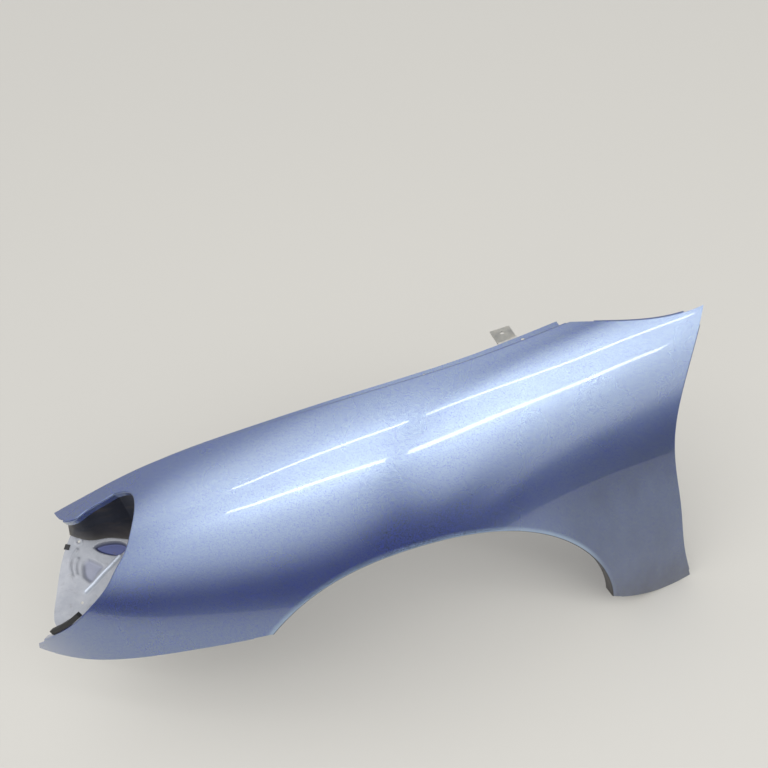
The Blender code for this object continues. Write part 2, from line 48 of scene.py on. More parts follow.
# the panel's driving sizes, in metres, and its tables as shares of them
panel = {
    "length": 1.310,
    "height": 0.585,
    "depth": 0.520,
    "archRadius": 0.363,
    "archCentreHeight": 0.049,
    "padFromWheel": (0.27418, 0.30855, 0.55966),  # the cowl pad, seen from under the wheel's centre
    "sheet": 0.0009,
    "bend": 0.0030,
    "hoodWall": 0.0170,
    "hoodFlange": 0.0200,
    "cowlReturn": 0.0160,
    "doorReturn": 0.0140,
    "archLip": 0.0200,
    "footFlange": 0.0180,
    "seamFlange": 0.0170,
    "lampReturn": 0.0090,
    "boltHole": 0.0070,
    "screwHole": 0.0050,
    "cutter": 0.0120,
    "finer": 4,           # cells of the fine surface to one of the solid's
    "bendSteps": 6,
    "wallRowShares": (0.1, 0.5, 0.9),  # rows across a flange's upright and its flat
    "flatRowShares": (0.1, 0.5, 0.92, 1.0),
    "edgeCellShare": 0.2,  # a narrow row along each edge keeps the bends crisp
    "coarseRounds": 200,   # how often each grid is evened out
    "fineRounds": 400,
    "stripRounds": 300,
}
sections = {  # the crown at eight stations: two ends, with a handle at each
    "station": (-0.611, -0.458, -0.305, -0.153, 0.0, 0.153, 0.305, 0.458),
    "edgeInset": (0.994, 0.858, 0.760, 0.656, 0.554, 0.506, 0.531, 0.569),
    "edgeHeight": (0.446, 0.615, 0.776, 0.880, 0.962, 0.997, 0.997, 0.986),
    "sideInset": (0.723, 0.325, 0.133, 0.035, 0.002, 0.044, 0.090, 0.115),
    "edgeRiseDeg": (13.8, 9.0, 4.1, -1.4, -5.9, -8.8, -11.1, -12.0),
    "sideLeanDeg": (13.2, 8.7, 4.8, 0.1, -3.5, -3.8, -4.0, -3.8),
    "crownReach": (0.337, 0.331, 0.319, 0.296, 0.262, 0.204, 0.177, 0.173),
    "sideReach": (0.723, 0.738, 0.750, 0.744, 0.709, 0.612, 0.503, 0.383),
}
edgeShares = {  # the trimmed edges, and the holes along their flanges
    "hood": (-0.4465, -0.3449, -0.175, 0.225, 0.2878, 0.4733),  # tip, root, arch front, arch rear, cowl, end
    "cowlDrop": (0.162, 0.202),
    "door": (0.4733, 0.3939, 0.3870, 0.3939, 0.4122),
    "doorKnot": (0.0, 0.28, 0.56, 0.80, 1.0),
    "footHeight": (0.027, 0.031, 0.125),
    "seamHeight": (0.335, 0.419, 0.477, 0.521),
    "nose": -0.526,
    "stripEnd": ((-0.4465, 0.0), (-0.4440, 0.017), (-0.4405, 0.034), (-0.4370, 0.051)),
    "stripEdge": (
        (-0.4370, 0.051), (-0.4260, 0.078), (-0.4120, 0.091), (-0.3942, 0.078), (-0.3725, 0.0704),
        (-0.3570, 0.0666), (-0.3449, 0.0624)),
    "lampEdge": (
        (-0.3449, 0.0624), (-0.3324, 0.0717), (-0.3214, 0.0908), (-0.3166, 0.1163), (-0.3160, 0.1569),
        (-0.3189, 0.2017), (-0.3240, 0.2453), (-0.3308, 0.2945), (-0.3425, 0.3583), (-0.3592, 0.4137),
        (-0.3791, 0.4818), (-0.3946, 0.5214), (-0.4098, 0.5556), (-0.4382, 0.6202), (-0.4707, 0.6835),
        (-0.4897, 0.7178), (-0.526, 0.787)),
    "lampCrowding": 1.35,
    "hoodHoles": (0.05, 0.22, 0.40, 0.58, 0.76, 0.95),
    "seamHoles": (0.16, 0.44, 0.72),
    "archHoles": (0.10, 0.30, 0.50, 0.70, 0.90),
    "footHoles": (0.18,),
}
# cells of the solids' grid along each stretch of the edges
cells = {"strip": 9, "root": 3, "side": 22, "seam": 13, "arch": 28, "rear": 3, "cowl": 6}
padPlace = Vector(panel["padFromWheel"])


# smooth curves and the crowned surface
def naturalCurve(knots, values, at):  # a cubic through the knots, straight at its ends
    k = np.array(knots, float)
    y = np.array(values, float)
    count = len(k)
    step = np.diff(k)
    left = np.eye(count)
    right = np.zeros((count,) + y.shape[1:])
    for i in range(1, count - 1):
        left[i, i - 1:i + 2] = step[i - 1], 2 * (step[i - 1] + step[i]), step[i]
        right[i] = 6 * ((y[i + 1] - y[i]) / step[i] - (y[i] - y[i - 1]) / step[i - 1])
    bend = np.linalg.solve(left, right)
    at = np.asarray(at, float)
    i = np.clip(np.searchsorted(k, at) - 1, 0, count - 2)
    before, after = k[i + 1] - at, at - k[i]
    if y.ndim > 1:
        before, after, step = before[..., None], after[..., None], step[:, None]
    return ((bend[i] * before ** 3 + bend[i + 1] * after ** 3) / (6 * step[i])
            + (y[i] / step[i] - bend[i] * step[i] / 6) * before
            + (y[i + 1] / step[i] - bend[i + 1] * step[i] / 6) * after)


def crownPoint(x, t):  # the surface at a length and at a share of the way down
    x, t = np.broadcast_arrays(np.asarray(x, float), np.asarray(t, float))
    table = {key: naturalCurve(sections["station"], values, x / panel["length"])
             for key, values in sections.items() if key != "station"}
    inset = table["edgeInset"] * panel["depth"]
    height = table["edgeHeight"] * panel["height"]
    low = table["sideInset"] * panel["depth"]
    rise = np.radians(table["edgeRiseDeg"])
    lean = np.radians(table["sideLeanDeg"])
    crown = table["crownReach"] * panel["depth"]
    side = table["sideReach"] * panel["height"]
    handles = (
        (inset, height),
        (inset - crown * np.cos(rise), height + crown * np.sin(rise)),
        (low + side * np.sin(lean), side * np.cos(lean)),
        (low, np.zeros_like(low)))
    weights = ((1 - t) ** 3, 3 * (1 - t) ** 2 * t, 3 * (1 - t) * t ** 2, t ** 3)
    y = sum(w * h[0] for w, h in zip(weights, handles))
    z = sum(w * h[1] for w, h in zip(weights, handles))
    return np.stack([x, y, z], -1)


def crownNormal(x, t, stepShare=0.0001):
    step = panel["length"] * stepShare
    small = step / panel["height"]
    along = crownPoint(x + step, t) - crownPoint(x - step, t)
    down = crownPoint(x, t + small) - crownPoint(x, t - small)
    normal = np.cross(down, along)
    return normal / np.linalg.norm(normal, axis=-1, keepdims=True)


def shareAtHeight(x, z, lowest=1.1, halvings=40):  # how far down the surface has that height
    low = np.zeros(len(x))
    high = np.full(len(x), lowest)
    for _ in range(halvings):
        middle = (low + high) / 2
        above = crownPoint(x, middle)[:, 2] > z
        low = np.where(above, middle, low)
        high = np.where(above, high, middle)
    return (low + high) / 2


def even(count):
    return np.linspace(0, 1, count + 1)


def smoothStep(value):
    value = np.clip(value, 0, 1)
    return value * value * (3 - 2 * value)


def runLengths(points):
    return np.concatenate([[0], np.cumsum(np.linalg.norm(np.diff(points, axis=0), axis=1))])


def respaced(pairs, count, crowding=1.0, samples=1600):  # even places on a smooth curve
    shares = np.array(pairs, float)
    size = np.array((panel["length"], panel["height"]))
    run = runLengths(shares * size)
    dense = naturalCurve(run, shares, even(samples) * run[-1])
    run = runLengths(dense * size)
    at = even(count) ** crowding * run[-1]
    length = np.interp(at, run, dense[:, 0]) * panel["length"]
    return np.stack([length, np.interp(at, run, dense[:, 1])], -1)


def panelEdges(finer):  # top, rear, bottom and front, as lengths and shares of the way down
    n = {key: value * finer for key, value in cells.items()}
    root, front, rear, cowl, pillar = (s * panel["length"] for s in edgeShares["hood"][1:])
    hood = np.concatenate([
        np.linspace(root, front, n["seam"] + 1)[:-1],
        np.linspace(front, rear, n["arch"] + 1)[:-1],
        np.linspace(rear, cowl, n["rear"] + 1)])
    u = even(n["cowl"])
    drop = edgeShares["cowlDrop"][0] * u + edgeShares["cowlDrop"][1] * u * (1 - u)
    top = np.concatenate([
        np.stack([hood, np.zeros_like(hood)], -1),
        np.stack([cowl + (pillar - cowl) * u, drop], -1)[1:]])
    high = crownPoint(top[-1:, 0], top[-1:, 1])[0, 2]
    footHeights = [s * panel["height"] for s in edgeShares["footHeight"]]
    v = even(n["side"] + n["root"])
    doorX = naturalCurve(edgeShares["doorKnot"], edgeShares["door"], v) * panel["length"]
    door = np.stack([doorX, shareAtHeight(doorX, high + (footHeights[0] - high) * v)], -1)
    footAngle = math.asin((footHeights[2] - panel["archCentreHeight"]) / panel["archRadius"])
    seamHeights = [s * panel["height"] for s in edgeShares["seamHeight"]]
    seamAngle = math.pi - math.asin((seamHeights[-1] - panel["archCentreHeight"]) / panel["archRadius"])
    a = seamAngle + (footAngle - seamAngle) * even(n["arch"])
    archX = panel["archRadius"] * np.cos(a)
    archZ = panel["archCentreHeight"] + panel["archRadius"] * np.sin(a)
    arch = np.stack([archX, shareAtHeight(archX, archZ)], -1)
    noseX = edgeShares["nose"] * panel["length"]
    seamX = noseX + (archX[0] - noseX) * even(n["seam"])
    seamZ = naturalCurve(np.linspace(0, 1, len(seamHeights)), seamHeights, even(n["seam"]))
    seam = np.stack([seamX, shareAtHeight(seamX, seamZ)], -1)
    w = even(n["rear"] + n["cowl"])
    footX = archX[-1] + (doorX[-1] - archX[-1]) * w
    last, middle, first = footHeights
    footZ = first * (1 - w) + last * w + 4 * w * (1 - w) * (middle - (first + last) / 2)
    foot = np.stack([footX, shareAtHeight(footX, footZ)], -1)
    bottom = np.concatenate([seam, arch[1:], foot[1:]])
    stripRoot = np.stack([np.full(n["root"] + 1, root), even(n["root"]) * edgeShares["stripEdge"][-1][1]], -1)
    lamp = respaced(edgeShares["lampEdge"], n["side"], edgeShares["lampCrowding"])
    lamp[-1] = bottom[0]
    return top, door, bottom, np.concatenate([stripRoot, lamp[1:]])


def relaxed(grid, rounds):  # evens out a grid between its edges
    scale = np.array((1.0, panel["height"]))
    r = grid * scale
    for _ in range(rounds):
        along = (r[1:-1, 2:] - r[1:-1, :-2]) / 2
        down = (r[2:, 1:-1] - r[:-2, 1:-1]) / 2
        a = (down * down).sum(-1, keepdims=True)
        b = (along * down).sum(-1, keepdims=True)
        c = (along * along).sum(-1, keepdims=True)
        cross = (r[2:, 2:] - r[2:, :-2] - r[:-2, 2:] + r[:-2, :-2]) / 4
        r[1:-1, 1:-1] = (a * (r[1:-1, 2:] + r[1:-1, :-2]) + c * (r[2:, 1:-1] + r[:-2, 1:-1])
                         - 2 * b * cross) / (2 * (a + c))
    return r / scale


def filled(top, right, bottom, left, u, v):  # blends four edges into a grid
    u = u[None, :, None]
    v = v[:, None, None]
    return ((1 - v) * top[None] + v * bottom[None] + (1 - u) * left[:, None] + u * right[:, None]
            - (1 - u) * (1 - v) * top[0] - u * (1 - v) * top[-1]
            - (1 - u) * v * bottom[0] - u * v * bottom[-1])


def blended(top, right, bottom, left, rounds):
    def run(side):
        length = runLengths(crownPoint(side[:, 0], side[:, 1]))
        return length / length[-1]
    grid = filled(top, right, bottom, left, (run(top) + run(bottom)) / 2, (run(left) + run(right)) / 2)
    return relaxed(grid, rounds)


def stretched(grid, rows, columns):  # the same grid with more cells
    i = np.linspace(0, grid.shape[0] - 1, rows)
    j = np.linspace(0, grid.shape[1] - 1, columns)
    tall = np.stack([np.stack([np.interp(i, np.arange(grid.shape[0]), grid[:, c, k])
                               for c in range(grid.shape[1])], -1) for k in range(2)], -1)
    return np.stack([np.stack([np.interp(j, np.arange(grid.shape[1]), tall[r, :, k])
                               for r in range(rows)], 0) for k in range(2)], -1)


def withEdgeRows(grid, share):
    for _ in range(2):
        near = grid[0] * (1 - share) + grid[1] * share
        far = grid[-1] * (1 - share) + grid[-2] * share
        grid = np.concatenate([grid[:1], near[None], grid[1:-1], far[None], grid[-1:]])
        grid = grid.transpose(1, 0, 2)
    return grid


# mesh helpers
def sheetGrid(points):  # a grid of faces, laid onto rows of places
    points = np.asarray(points)
    shape = bmesh.new()
    bmesh.ops.create_grid(shape, x_segments=points.shape[1] - 1, y_segments=points.shape[0] - 1, size=0.5)
    for vert, place in zip(shape.verts, points.reshape(-1, 3)):
        vert.co = Vector(place) - padPlace
    return shape


def spread(shape, name, values):  # a value for each place, for the finish to read
    layer = shape.verts.layers.float.new(name)
    for vert, value in zip(shape.verts, values):
        vert[layer] = value
    shape.normal_update()


def joined(shapes, weld=0.00001):
    whole = bmesh.new()
    for shape in shapes:
        mesh = bpy.data.meshes.new("part")
        shape.to_mesh(mesh)
        shape.free()
        whole.from_mesh(mesh)
        bpy.data.meshes.remove(mesh)
    bmesh.ops.remove_doubles(whole, verts=whole.verts, dist=weld)
    bmesh.ops.recalc_face_normals(whole, faces=whole.faces)
    return whole


def newPiece(name, shape, materials):
    mesh = bpy.data.meshes.new(name)
    shape.to_mesh(mesh)
    shape.free()
    for each in materials:
        mesh.materials.append(each)
    thing = bpy.data.objects.new(name, mesh)
    bpy.context.scene.collection.objects.link(thing)
    return thing


def settled(thing, sharpDeg=34):  # applies the modifiers and marks the sharp edges
    bpy.context.view_layer.update()
    final = bpy.data.meshes.new_from_object(thing.evaluated_get(bpy.context.evaluated_depsgraph_get()))
    thing.modifiers.clear()
    thing.data = final
    final.name = thing.name
    final.polygons.foreach_set("use_smooth", [True] * len(final.polygons))
    final.set_sharp_from_angle(angle=math.radians(sharpDeg))


def addThickness(thing, amount, innerSlot=0, evenOffset=True):
    wall = thing.modifiers.new("wall", "SOLIDIFY")
    wall.thickness = amount
    wall.offset = -1
    wall.use_even_offset = evenOffset
    wall.use_quality_normals = True
    wall.material_offset = innerSlot


def punched(thing, holes, sides=24):  # holes are centre, axis and diameter
    shape = bmesh.new()
    for centre, axis, diameter in holes:
        turn = Vector(axis).to_track_quat("Z", "Y").to_matrix().to_4x4()
        turn.translation = Vector(centre) - padPlace
        bmesh.ops.create_cone(shape, cap_ends=True, segments=sides, radius1=diameter / 2,
                              radius2=diameter / 2, depth=panel["cutter"], matrix=turn)
    tool = newPiece(thing.name + "Holes", shape, [])
    cut = thing.modifiers.new("holes", "BOOLEAN")
    cut.operation = "DIFFERENCE"
    cut.solver = "EXACT"
    cut.object = tool
    return tool


def faceOut(shape, place, direction):  # turns the shell so that the face nearest a place looks that way
    near = min(shape.faces, key=lambda f: (f.calc_center_median() - place).length)
    if near.normal.dot(Vector(direction)) < 0:
        bmesh.ops.reverse_faces(shape, faces=shape.faces)


# materials
class Wire:  # a node's output that can stand in a sum
    def __init__(self, maker, socket):
        self.maker = maker
        self.socket = socket

    def math(self, operation, first, second):
        return self.maker.node("ShaderNodeMath", {"operation": operation}, {0: first, 1: second})

    def __add__(self, other):
        return self.math("ADD", self, other)

    def __radd__(self, other):
        return self.math("ADD", other, self)

    def __sub__(self, other):
        return self.math("SUBTRACT", self, other)

    def __rsub__(self, other):
        return self.math("SUBTRACT", other, self)

    def __mul__(self, other):
        return self.math("MULTIPLY", self, other)

    def __rmul__(self, other):
        return self.math("MULTIPLY", other, self)


class NodeMaker:
    def __init__(self, tree):
        self.tree = tree

    def node(self, kind, settings, inputs, output=0):
        new = self.tree.nodes.new(kind)
        for key, value in settings.items():
            setattr(new, key, value)
        for key, value in inputs.items():
            self.feed(new.inputs[key], value)
        return Wire(self, new.outputs[output])

    def feed(self, socket, value):
        if isinstance(value, Wire):
            self.tree.links.new(value.socket, socket)
        elif socket.type == "RGBA":
            socket.default_value = (*value, 1)
        else:
            socket.default_value = value

    def coordinates(self, output="Object"):
        return self.node("ShaderNodeTexCoord", {}, {}, output)

    def noise(self, scale, detail=3.0, roughness=0.5, stretch=(1, 1, 1)):  # scale per metre
        place = self.node("ShaderNodeMapping", {}, {"Vector": self.coordinates(), "Scale": stretch})
        return self.node("ShaderNodeTexNoise", {}, {
            "Vector": place, "Scale": scale, "Detail": detail, "Roughness": roughness})

    def range(self, value, low, high, outLow=0.0, outHigh=1.0, soft=False):
        kind = "SMOOTHSTEP" if soft else "LINEAR"
        return self.node("ShaderNodeMapRange", {"clamp": True, "interpolation_type": kind}, {
            "Value": value, "From Min": low, "From Max": high, "To Min": outLow, "To Max": outHigh})

    def patches(self, noise, low, high, outLow=0.0, outHigh=1.0):  # a noise between two of its levels
        return self.range(self.noise(*noise), low, high, outLow, outHigh)

    def mix(self, factor, first, second):
        return self.node("ShaderNodeMix", {"data_type": "RGBA"}, {"Factor": factor, 6: first, 7: second}, 2)

    def attribute(self, name):
        return self.node("ShaderNodeAttribute", {"attribute_name": name}, {}, "Fac")


class Finish(NodeMaker):
    def __init__(self, name, **constants):
        self.material = bpy.data.materials.new(name)
        self.material.use_nodes = True
        super().__init__(self.material.node_tree)
        self.shader = self.tree.nodes["Principled BSDF"]
        for key, value in constants.items():
            self.shader.inputs[key.replace("_", " ")].default_value = value

    def show(self, **links):
        for key, value in links.items():
            self.feed(self.shader.inputs[key.replace("_", " ")], value)

    def bump(self, noise, strength, distance):
        raised = self.node("ShaderNodeBump", {}, {
            "Height": self.noise(*noise), "Strength": strength, "Distance": distance})
        self.feed(self.shader.inputs["Normal"], raised)


def bluePaint():
    look = {
        "pigment": (0.033, 0.050, 0.400),
        "flake": (0.250, 0.325, 0.400),
        "flakesPerMetre": 3000,
        "flakeShare": 0.72,
        "flakeEdge": 0.06,
        "roughness": 0.27,
        "haze": ((6.0, 4.0), 0.40, 0.75),
        "hazeRoughness": 0.04,
        "paintedShade": (0.021, 0.025, 0.044),  # painted shade behind the wheel, darker towards the bottom
        "paintedShadeSpan": (-0.100, 0.060),    # along the panel, from none to all of it
        "paintedShadeTop": (-0.125, -0.210),    # down the panel
        "paintedShadeShare": 0.40,
        "paintedShadeLow": (-0.400, -0.555),    # and near the foot, where the painted shade deepens
        "paintedShadeLowShare": 0.29,
        "paintedShadeRoughness": 0.08,
        "paintedShadeDulling": 0.4,
        "streaks": ((30.0, 5.0, 0.65, (1, 1, 0.4)), 0.30, 0.70, 0.85, 1.15),
        "rim": (0.44, 0.58, 0.74),      # painted highlight: a pale line along the arch's rolled edge
        "rimWidth": (0.0075, 0.0012),
        "rimShare": 0.52,
        "rimEnd": (0.020, 0.080),       # where along the panel it fades
        "rimEndShare": 0.15,
        "lip": (0.022, 0.018, 0.020),   # the arch's turned lip, made near black and dull
        "lipDepth": (0.0008, 0.0020),
        "lipRoughness": 0.25,
        "lipDulling": 0.8,
        "peel": ((260.0, 2.0), 0.25, 0.00002),
    }
    f = Finish("fenderPaint", Coat_Roughness=0.03, Coat_IOR=1.5, IOR=1.5)
    cellColour = f.node("ShaderNodeTexVoronoi", {}, {
        "Vector": f.coordinates(), "Scale": look["flakesPerMetre"]}, "Color")
    chance = f.node("ShaderNodeSeparateColor", {}, {"Color": cellColour})
    rare = 1 - look["flakeShare"]
    flake = f.range(chance, rare - look["flakeEdge"], rare + look["flakeEdge"])
    haze = f.patches(*look["haze"])
    along = f.node("ShaderNodeSeparateXYZ", {}, {"Vector": f.coordinates()}, "X")
    height = f.node("ShaderNodeSeparateXYZ", {}, {"Vector": f.coordinates()}, "Z")
    # painted shade: the panel behind the wheel darkens towards its bottom, most near the foot
    low = f.range(height, *look["paintedShadeTop"], 0.0, look["paintedShadeShare"], soft=True)
    lowest = f.range(height, *look["paintedShadeLow"], 0.0, look["paintedShadeLowShare"], soft=True)
    streaks = f.patches(*look["streaks"])
    paintedShade = (low + lowest) * f.range(along, *look["paintedShadeSpan"], soft=True) * streaks
    rearward = along + padPlace.x
    upward = height + (padPlace.z - panel["archCentreHeight"])
    fromWheel = f.node("ShaderNodeMath", {"operation": "SQRT"}, {0: rearward * rearward + upward * upward})
    # painted highlight: a pale line along the arch's edge, fading towards the rear
    rim = f.range(fromWheel - panel["archRadius"], *look["rimWidth"], 0.0, look["rimShare"], soft=True)
    rim = rim * streaks * f.range(along, *look["rimEnd"], 1.0, look["rimEndShare"], soft=True)
    lip = f.range(panel["archRadius"] - fromWheel, *look["lipDepth"])
    paint = f.mix(paintedShade, f.mix(flake, look["pigment"], look["flake"]), look["paintedShade"])
    f.show(
        Base_Color=f.mix(lip, f.mix(rim, paint, look["rim"]), look["lip"]),
        Metallic=flake * (1 - lip),
        Roughness=(look["roughness"] + look["hazeRoughness"] * haze
                   + look["paintedShadeRoughness"] * paintedShade + look["lipRoughness"] * lip),
        Coat_Weight=(1 - look["paintedShadeDulling"] * paintedShade) * (1 - look["lipDulling"] * lip))
    f.bump(*look["peel"])
    return f.material


def insidePaint():
    look = {
        "paint": ((0.075, 0.105, 0.235), (0.115, 0.150, 0.290)),
        "mottle": ((9.0, 5.0, 0.6), 0.35, 0.70),
        "dust": ((45.0, 4.0, 0.7), 0.50, 0.80),
        "dustColour": (0.23, 0.22, 0.20),
        "dustShare": 0.35,
        "metal": 0.25,
        "metalLoss": 0.2,
        "roughness": 0.42,
        "dustRoughness": 0.25,
        "grain": ((420.0, 3.0, 0.6), 0.5, 0.00004),
    }
    f = Finish("insidePaint", IOR=1.5)
    dust = f.patches(*look["dust"])
    paint = f.mix(f.patches(*look["mottle"]), *look["paint"])
    f.show(
        Base_Color=f.mix(dust * look["dustShare"], paint, look["dustColour"]),
        Metallic=look["metal"] - look["metalLoss"] * dust,
        Roughness=look["roughness"] + look["dustRoughness"] * dust)
    f.bump(*look["grain"])
    return f.material


def trayPrimer():
    look = {
        "primer": ((0.255, 0.270, 0.305), (0.345, 0.355, 0.390)),
        "mottle": ((28.0, 5.0, 0.6), 0.35, 0.70),
        # painted shade and reflection: deep blue in the pressed pocket and dish
        "recessShade": (0.045, 0.058, 0.160),
        # painted highlight along the tray's fold
        "crestHighlight": (0.62, 0.68, 0.78),
        "grime": ((90.0, 5.0, 0.7), 0.56, 0.78),
        "grimeColour": (0.17, 0.155, 0.14),
        "grimeShare": 0.45,
        "metal": 0.1,
        "recessMetal": 0.3,
        "roughness": 0.30,
        "grimeRoughness": 0.30,
        "grain": ((350.0, 3.0, 0.6), 0.4, 0.00004),
    }
    f = Finish("trayPrimer", IOR=1.5)
    recessShade = f.attribute("recessShade")
    grime = f.patches(*look["grime"])
    pale = f.mix(f.patches(*look["mottle"]), *look["primer"])
    # painted shade in the pocket and dish, under a painted highlight on the fold
    raised = f.mix(f.attribute("crestHighlight"), f.mix(recessShade, pale, look["recessShade"]), look["crestHighlight"])
    f.show(
        Base_Color=f.mix(grime * look["grimeShare"], raised, look["grimeColour"]),
        Metallic=look["metal"] + look["recessMetal"] * recessShade,
        Roughness=look["roughness"] + look["grimeRoughness"] * grime)
    f.bump(*look["grain"])
    return f.material


def shadedWallPaint():
    # painted shade: the wall under the strip is near black, turning lighter brownish grey towards the tray
    look = {
        "primer": ((0.010, 0.012, 0.024), (0.034, 0.029, 0.030)),
        "smear": ((22.0, 4.0, 0.6, (1, 1, 3)), 0.48, 0.68),
        "foot": ((0.105, 0.088, 0.070), (0.190, 0.175, 0.155)),
        "mottle": ((35.0, 5.0, 0.65), 0.35, 0.70),
        "metal": 0.1,
        "mottleMetal": 0.1,
        "roughness": 0.34,
        "mottleRoughness": 0.16,
        "grain": ((300.0, 3.0, 0.6), 0.4, 0.00004),
    }
    f = Finish("shadedWallPaint", IOR=1.5)
    mottle = f.patches(*look["mottle"])
    base = f.mix(f.patches(*look["smear"]), *look["primer"])
    f.show(
        Base_Color=f.mix(f.attribute("low"), base, f.mix(mottle, *look["foot"])),
        Metallic=look["metal"] + look["mottleMetal"] * mottle,
        Roughness=look["roughness"] + look["mottleRoughness"] * mottle)
    f.bump(*look["grain"])
    return f.material


def blackRubber():
    look = {
        "rubber": (0.012, 0.012, 0.013),
        "dust": ((40.0, 4.0, 0.7), 0.50, 0.80),
        "dustColour": (0.060, 0.056, 0.050),
        "dustShare": 0.4,
        "roughness": 0.60,
        "dustRoughness": 0.2,
        "grain": ((600.0, 4.0, 0.7), 0.6, 0.00015),
    }
    f = Finish("blackRubber", IOR=1.5)
    dust = f.patches(*look["dust"])
    f.show(
        Base_Color=f.mix(dust * look["dustShare"], look["rubber"], look["dustColour"]),
        Roughness=look["roughness"] + look["dustRoughness"] * dust)
    f.bump(*look["grain"])
    return f.material


def zincPlate():
    look = {
        "zinc": ((0.44, 0.44, 0.42), (0.60, 0.59, 0.55)),
        "streak": ((60.0, 4.0, 0.6, (1, 1, 8)), 0.35, 0.65),
        "stain": ((120.0, 5.0, 0.7), 0.52, 0.78),
        "stainColour": (0.30, 0.25, 0.16),
        "stainShare": 0.5,
        "metal": 0.95,
        "metalLoss": 0.4,
        "roughness": 0.32,
        "stainRoughness": 0.25,
        "grain": ((500.0, 3.0, 0.6), 0.4, 0.00004),
    }
    f = Finish("zincPlate", IOR=1.5)
    stain = f.patches(*look["stain"])
    zinc = f.mix(f.patches(*look["streak"]), *look["zinc"])
    f.show(
        Base_Color=f.mix(stain * look["stainShare"], zinc, look["stainColour"]),
        Metallic=look["metal"] - look["metalLoss"] * stain,
        Roughness=look["roughness"] + look["stainRoughness"] * stain)
    f.bump(*look["grain"])
    return f.material


skinPaint = bluePaint()
backPaint = insidePaint()
trayFinish = trayPrimer()
wallFinish = shadedWallPaint()
rubberFinish = blackRubber()
zincFinish = zincPlate()
print("materials made")


# outer skin
def bendRows(steps):
    turn = [math.pi / 2 * i / steps for i in range(1, steps + 1)]
    return [(panel["bend"] * math.sin(a), panel["bend"] * (1 - math.cos(a))) for a in turn]


def returnProfile(width):
    r = panel["bend"]
    return bendRows(panel["bendSteps"]) + [(r, r + width * s) for s in panel["flatRowShares"]]


def hoodProfile():
    r = panel["bend"]
    low = r + panel["hoodWall"]
    turn = [math.pi / 2 * i / panel["bendSteps"] for i in range(panel["bendSteps"] + 1)]
    corner = [(r * (2 - math.cos(a)), low + r * math.sin(a)) for a in turn]
    wall = [(r, r + panel["hoodWall"] * s) for s in panel["wallRowShares"]]
    flat = [(2 * r + panel["hoodFlange"] * s, low + r) for s in panel["flatRowShares"]]
    return bendRows(panel["bendSteps"]) + wall + corner + flat


def edgeFrames(pairs, inner):
    p = crownPoint(pairs[:, 0], pairs[:, 1])
    n = crownNormal(pairs[:, 0], pairs[:, 1])
    tangent = np.gradient(p, axis=0)
    tangent /= np.linalg.norm(tangent, axis=1, keepdims=True)
    away = np.cross(tangent, n)
    away /= np.linalg.norm(away, axis=1, keepdims=True)
    towards = crownPoint(inner[:, 0], inner[:, 1]) - p
    away *= -np.sign((away * towards).sum(1))[:, None]
    return p, n, away


def flange(pairs, inner, profile):
    p, n, away = edgeFrames(pairs, inner)
    return np.stack([p] + [p + away * a - n * d for a, d in profile])


def onFlange(rows, share):  # centre and normal of a flange's flat, at a share of its length
    nearRow = -len(panel["flatRowShares"])
    at = share * (rows.shape[1] - 1)
    i = int(min(at, rows.shape[1] - 2))
    w = at - i
    near = rows[nearRow][i] * (1 - w) + rows[nearRow][i + 1] * w
    far = rows[-1][i] * (1 - w) + rows[-1][i + 1] * w
    return (near + far) / 2, np.cross(rows[-1][i + 1] - rows[-1][i], far - near)


def skinGrids(k):  # the fine grid of the panel and that of the strip over the lamp opening
    coarse = blended(*panelEdges(1), panel["coarseRounds"])
    top, door, bottom, front = panelEdges(k)
    grid = stretched(coarse, len(front), len(top))
    grid[0], grid[-1], grid[:, 0], grid[:, -1] = top, bottom, front, door
    grid = relaxed(grid, panel["fineRounds"])
    rootRows = cells["root"] * k
    stripCells = cells["strip"] * k
    tipX, rootX = (edgeShares["hood"][i] * panel["length"] for i in (0, 1))
    stripTop = np.stack([np.linspace(tipX, rootX, stripCells + 1), np.zeros(stripCells + 1)], -1)
    stripGrid = blended(stripTop, front[:rootRows + 1], respaced(edgeShares["stripEdge"], stripCells),
                        respaced(edgeShares["stripEnd"], rootRows), panel["stripRounds"])
    return grid, stripGrid


def skinFlanges(grid, stripGrid, lampPairs, lampInner, k):
    archStart = cells["seam"] * k
    archEnd = archStart + cells["arch"] * k
    cowlStart = archEnd + cells["rear"] * k
    hoodPairs, hoodInner = (
        np.concatenate([stripGrid[row][:-1], grid[row][:cowlStart + 1]])[k:-1] for row in (0, 1))
    low, lowInner = grid[-1], grid[-2]
    seam = slice(k, archStart - k + 1)
    arch = slice(archStart, archEnd + 1)
    foot = slice(archEnd + k, -k)
    cowl = slice(cowlStart + k, -k)
    return {
        "hood": flange(hoodPairs, hoodInner, hoodProfile()),
        "cowl": flange(grid[0][cowl], grid[1][cowl], returnProfile(panel["cowlReturn"])),
        "door": flange(grid[k:-k, -1], grid[k:-k, -2], returnProfile(panel["doorReturn"])),
        "seam": flange(low[seam], lowInner[seam], returnProfile(panel["seamFlange"])),
        "arch": flange(low[arch], lowInner[arch], returnProfile(panel["archLip"])),
        "foot": flange(low[foot], lowInner[foot], returnProfile(panel["footFlange"])),
        "lamp": flange(lampPairs, lampInner, returnProfile(panel["lampReturn"])),
    }


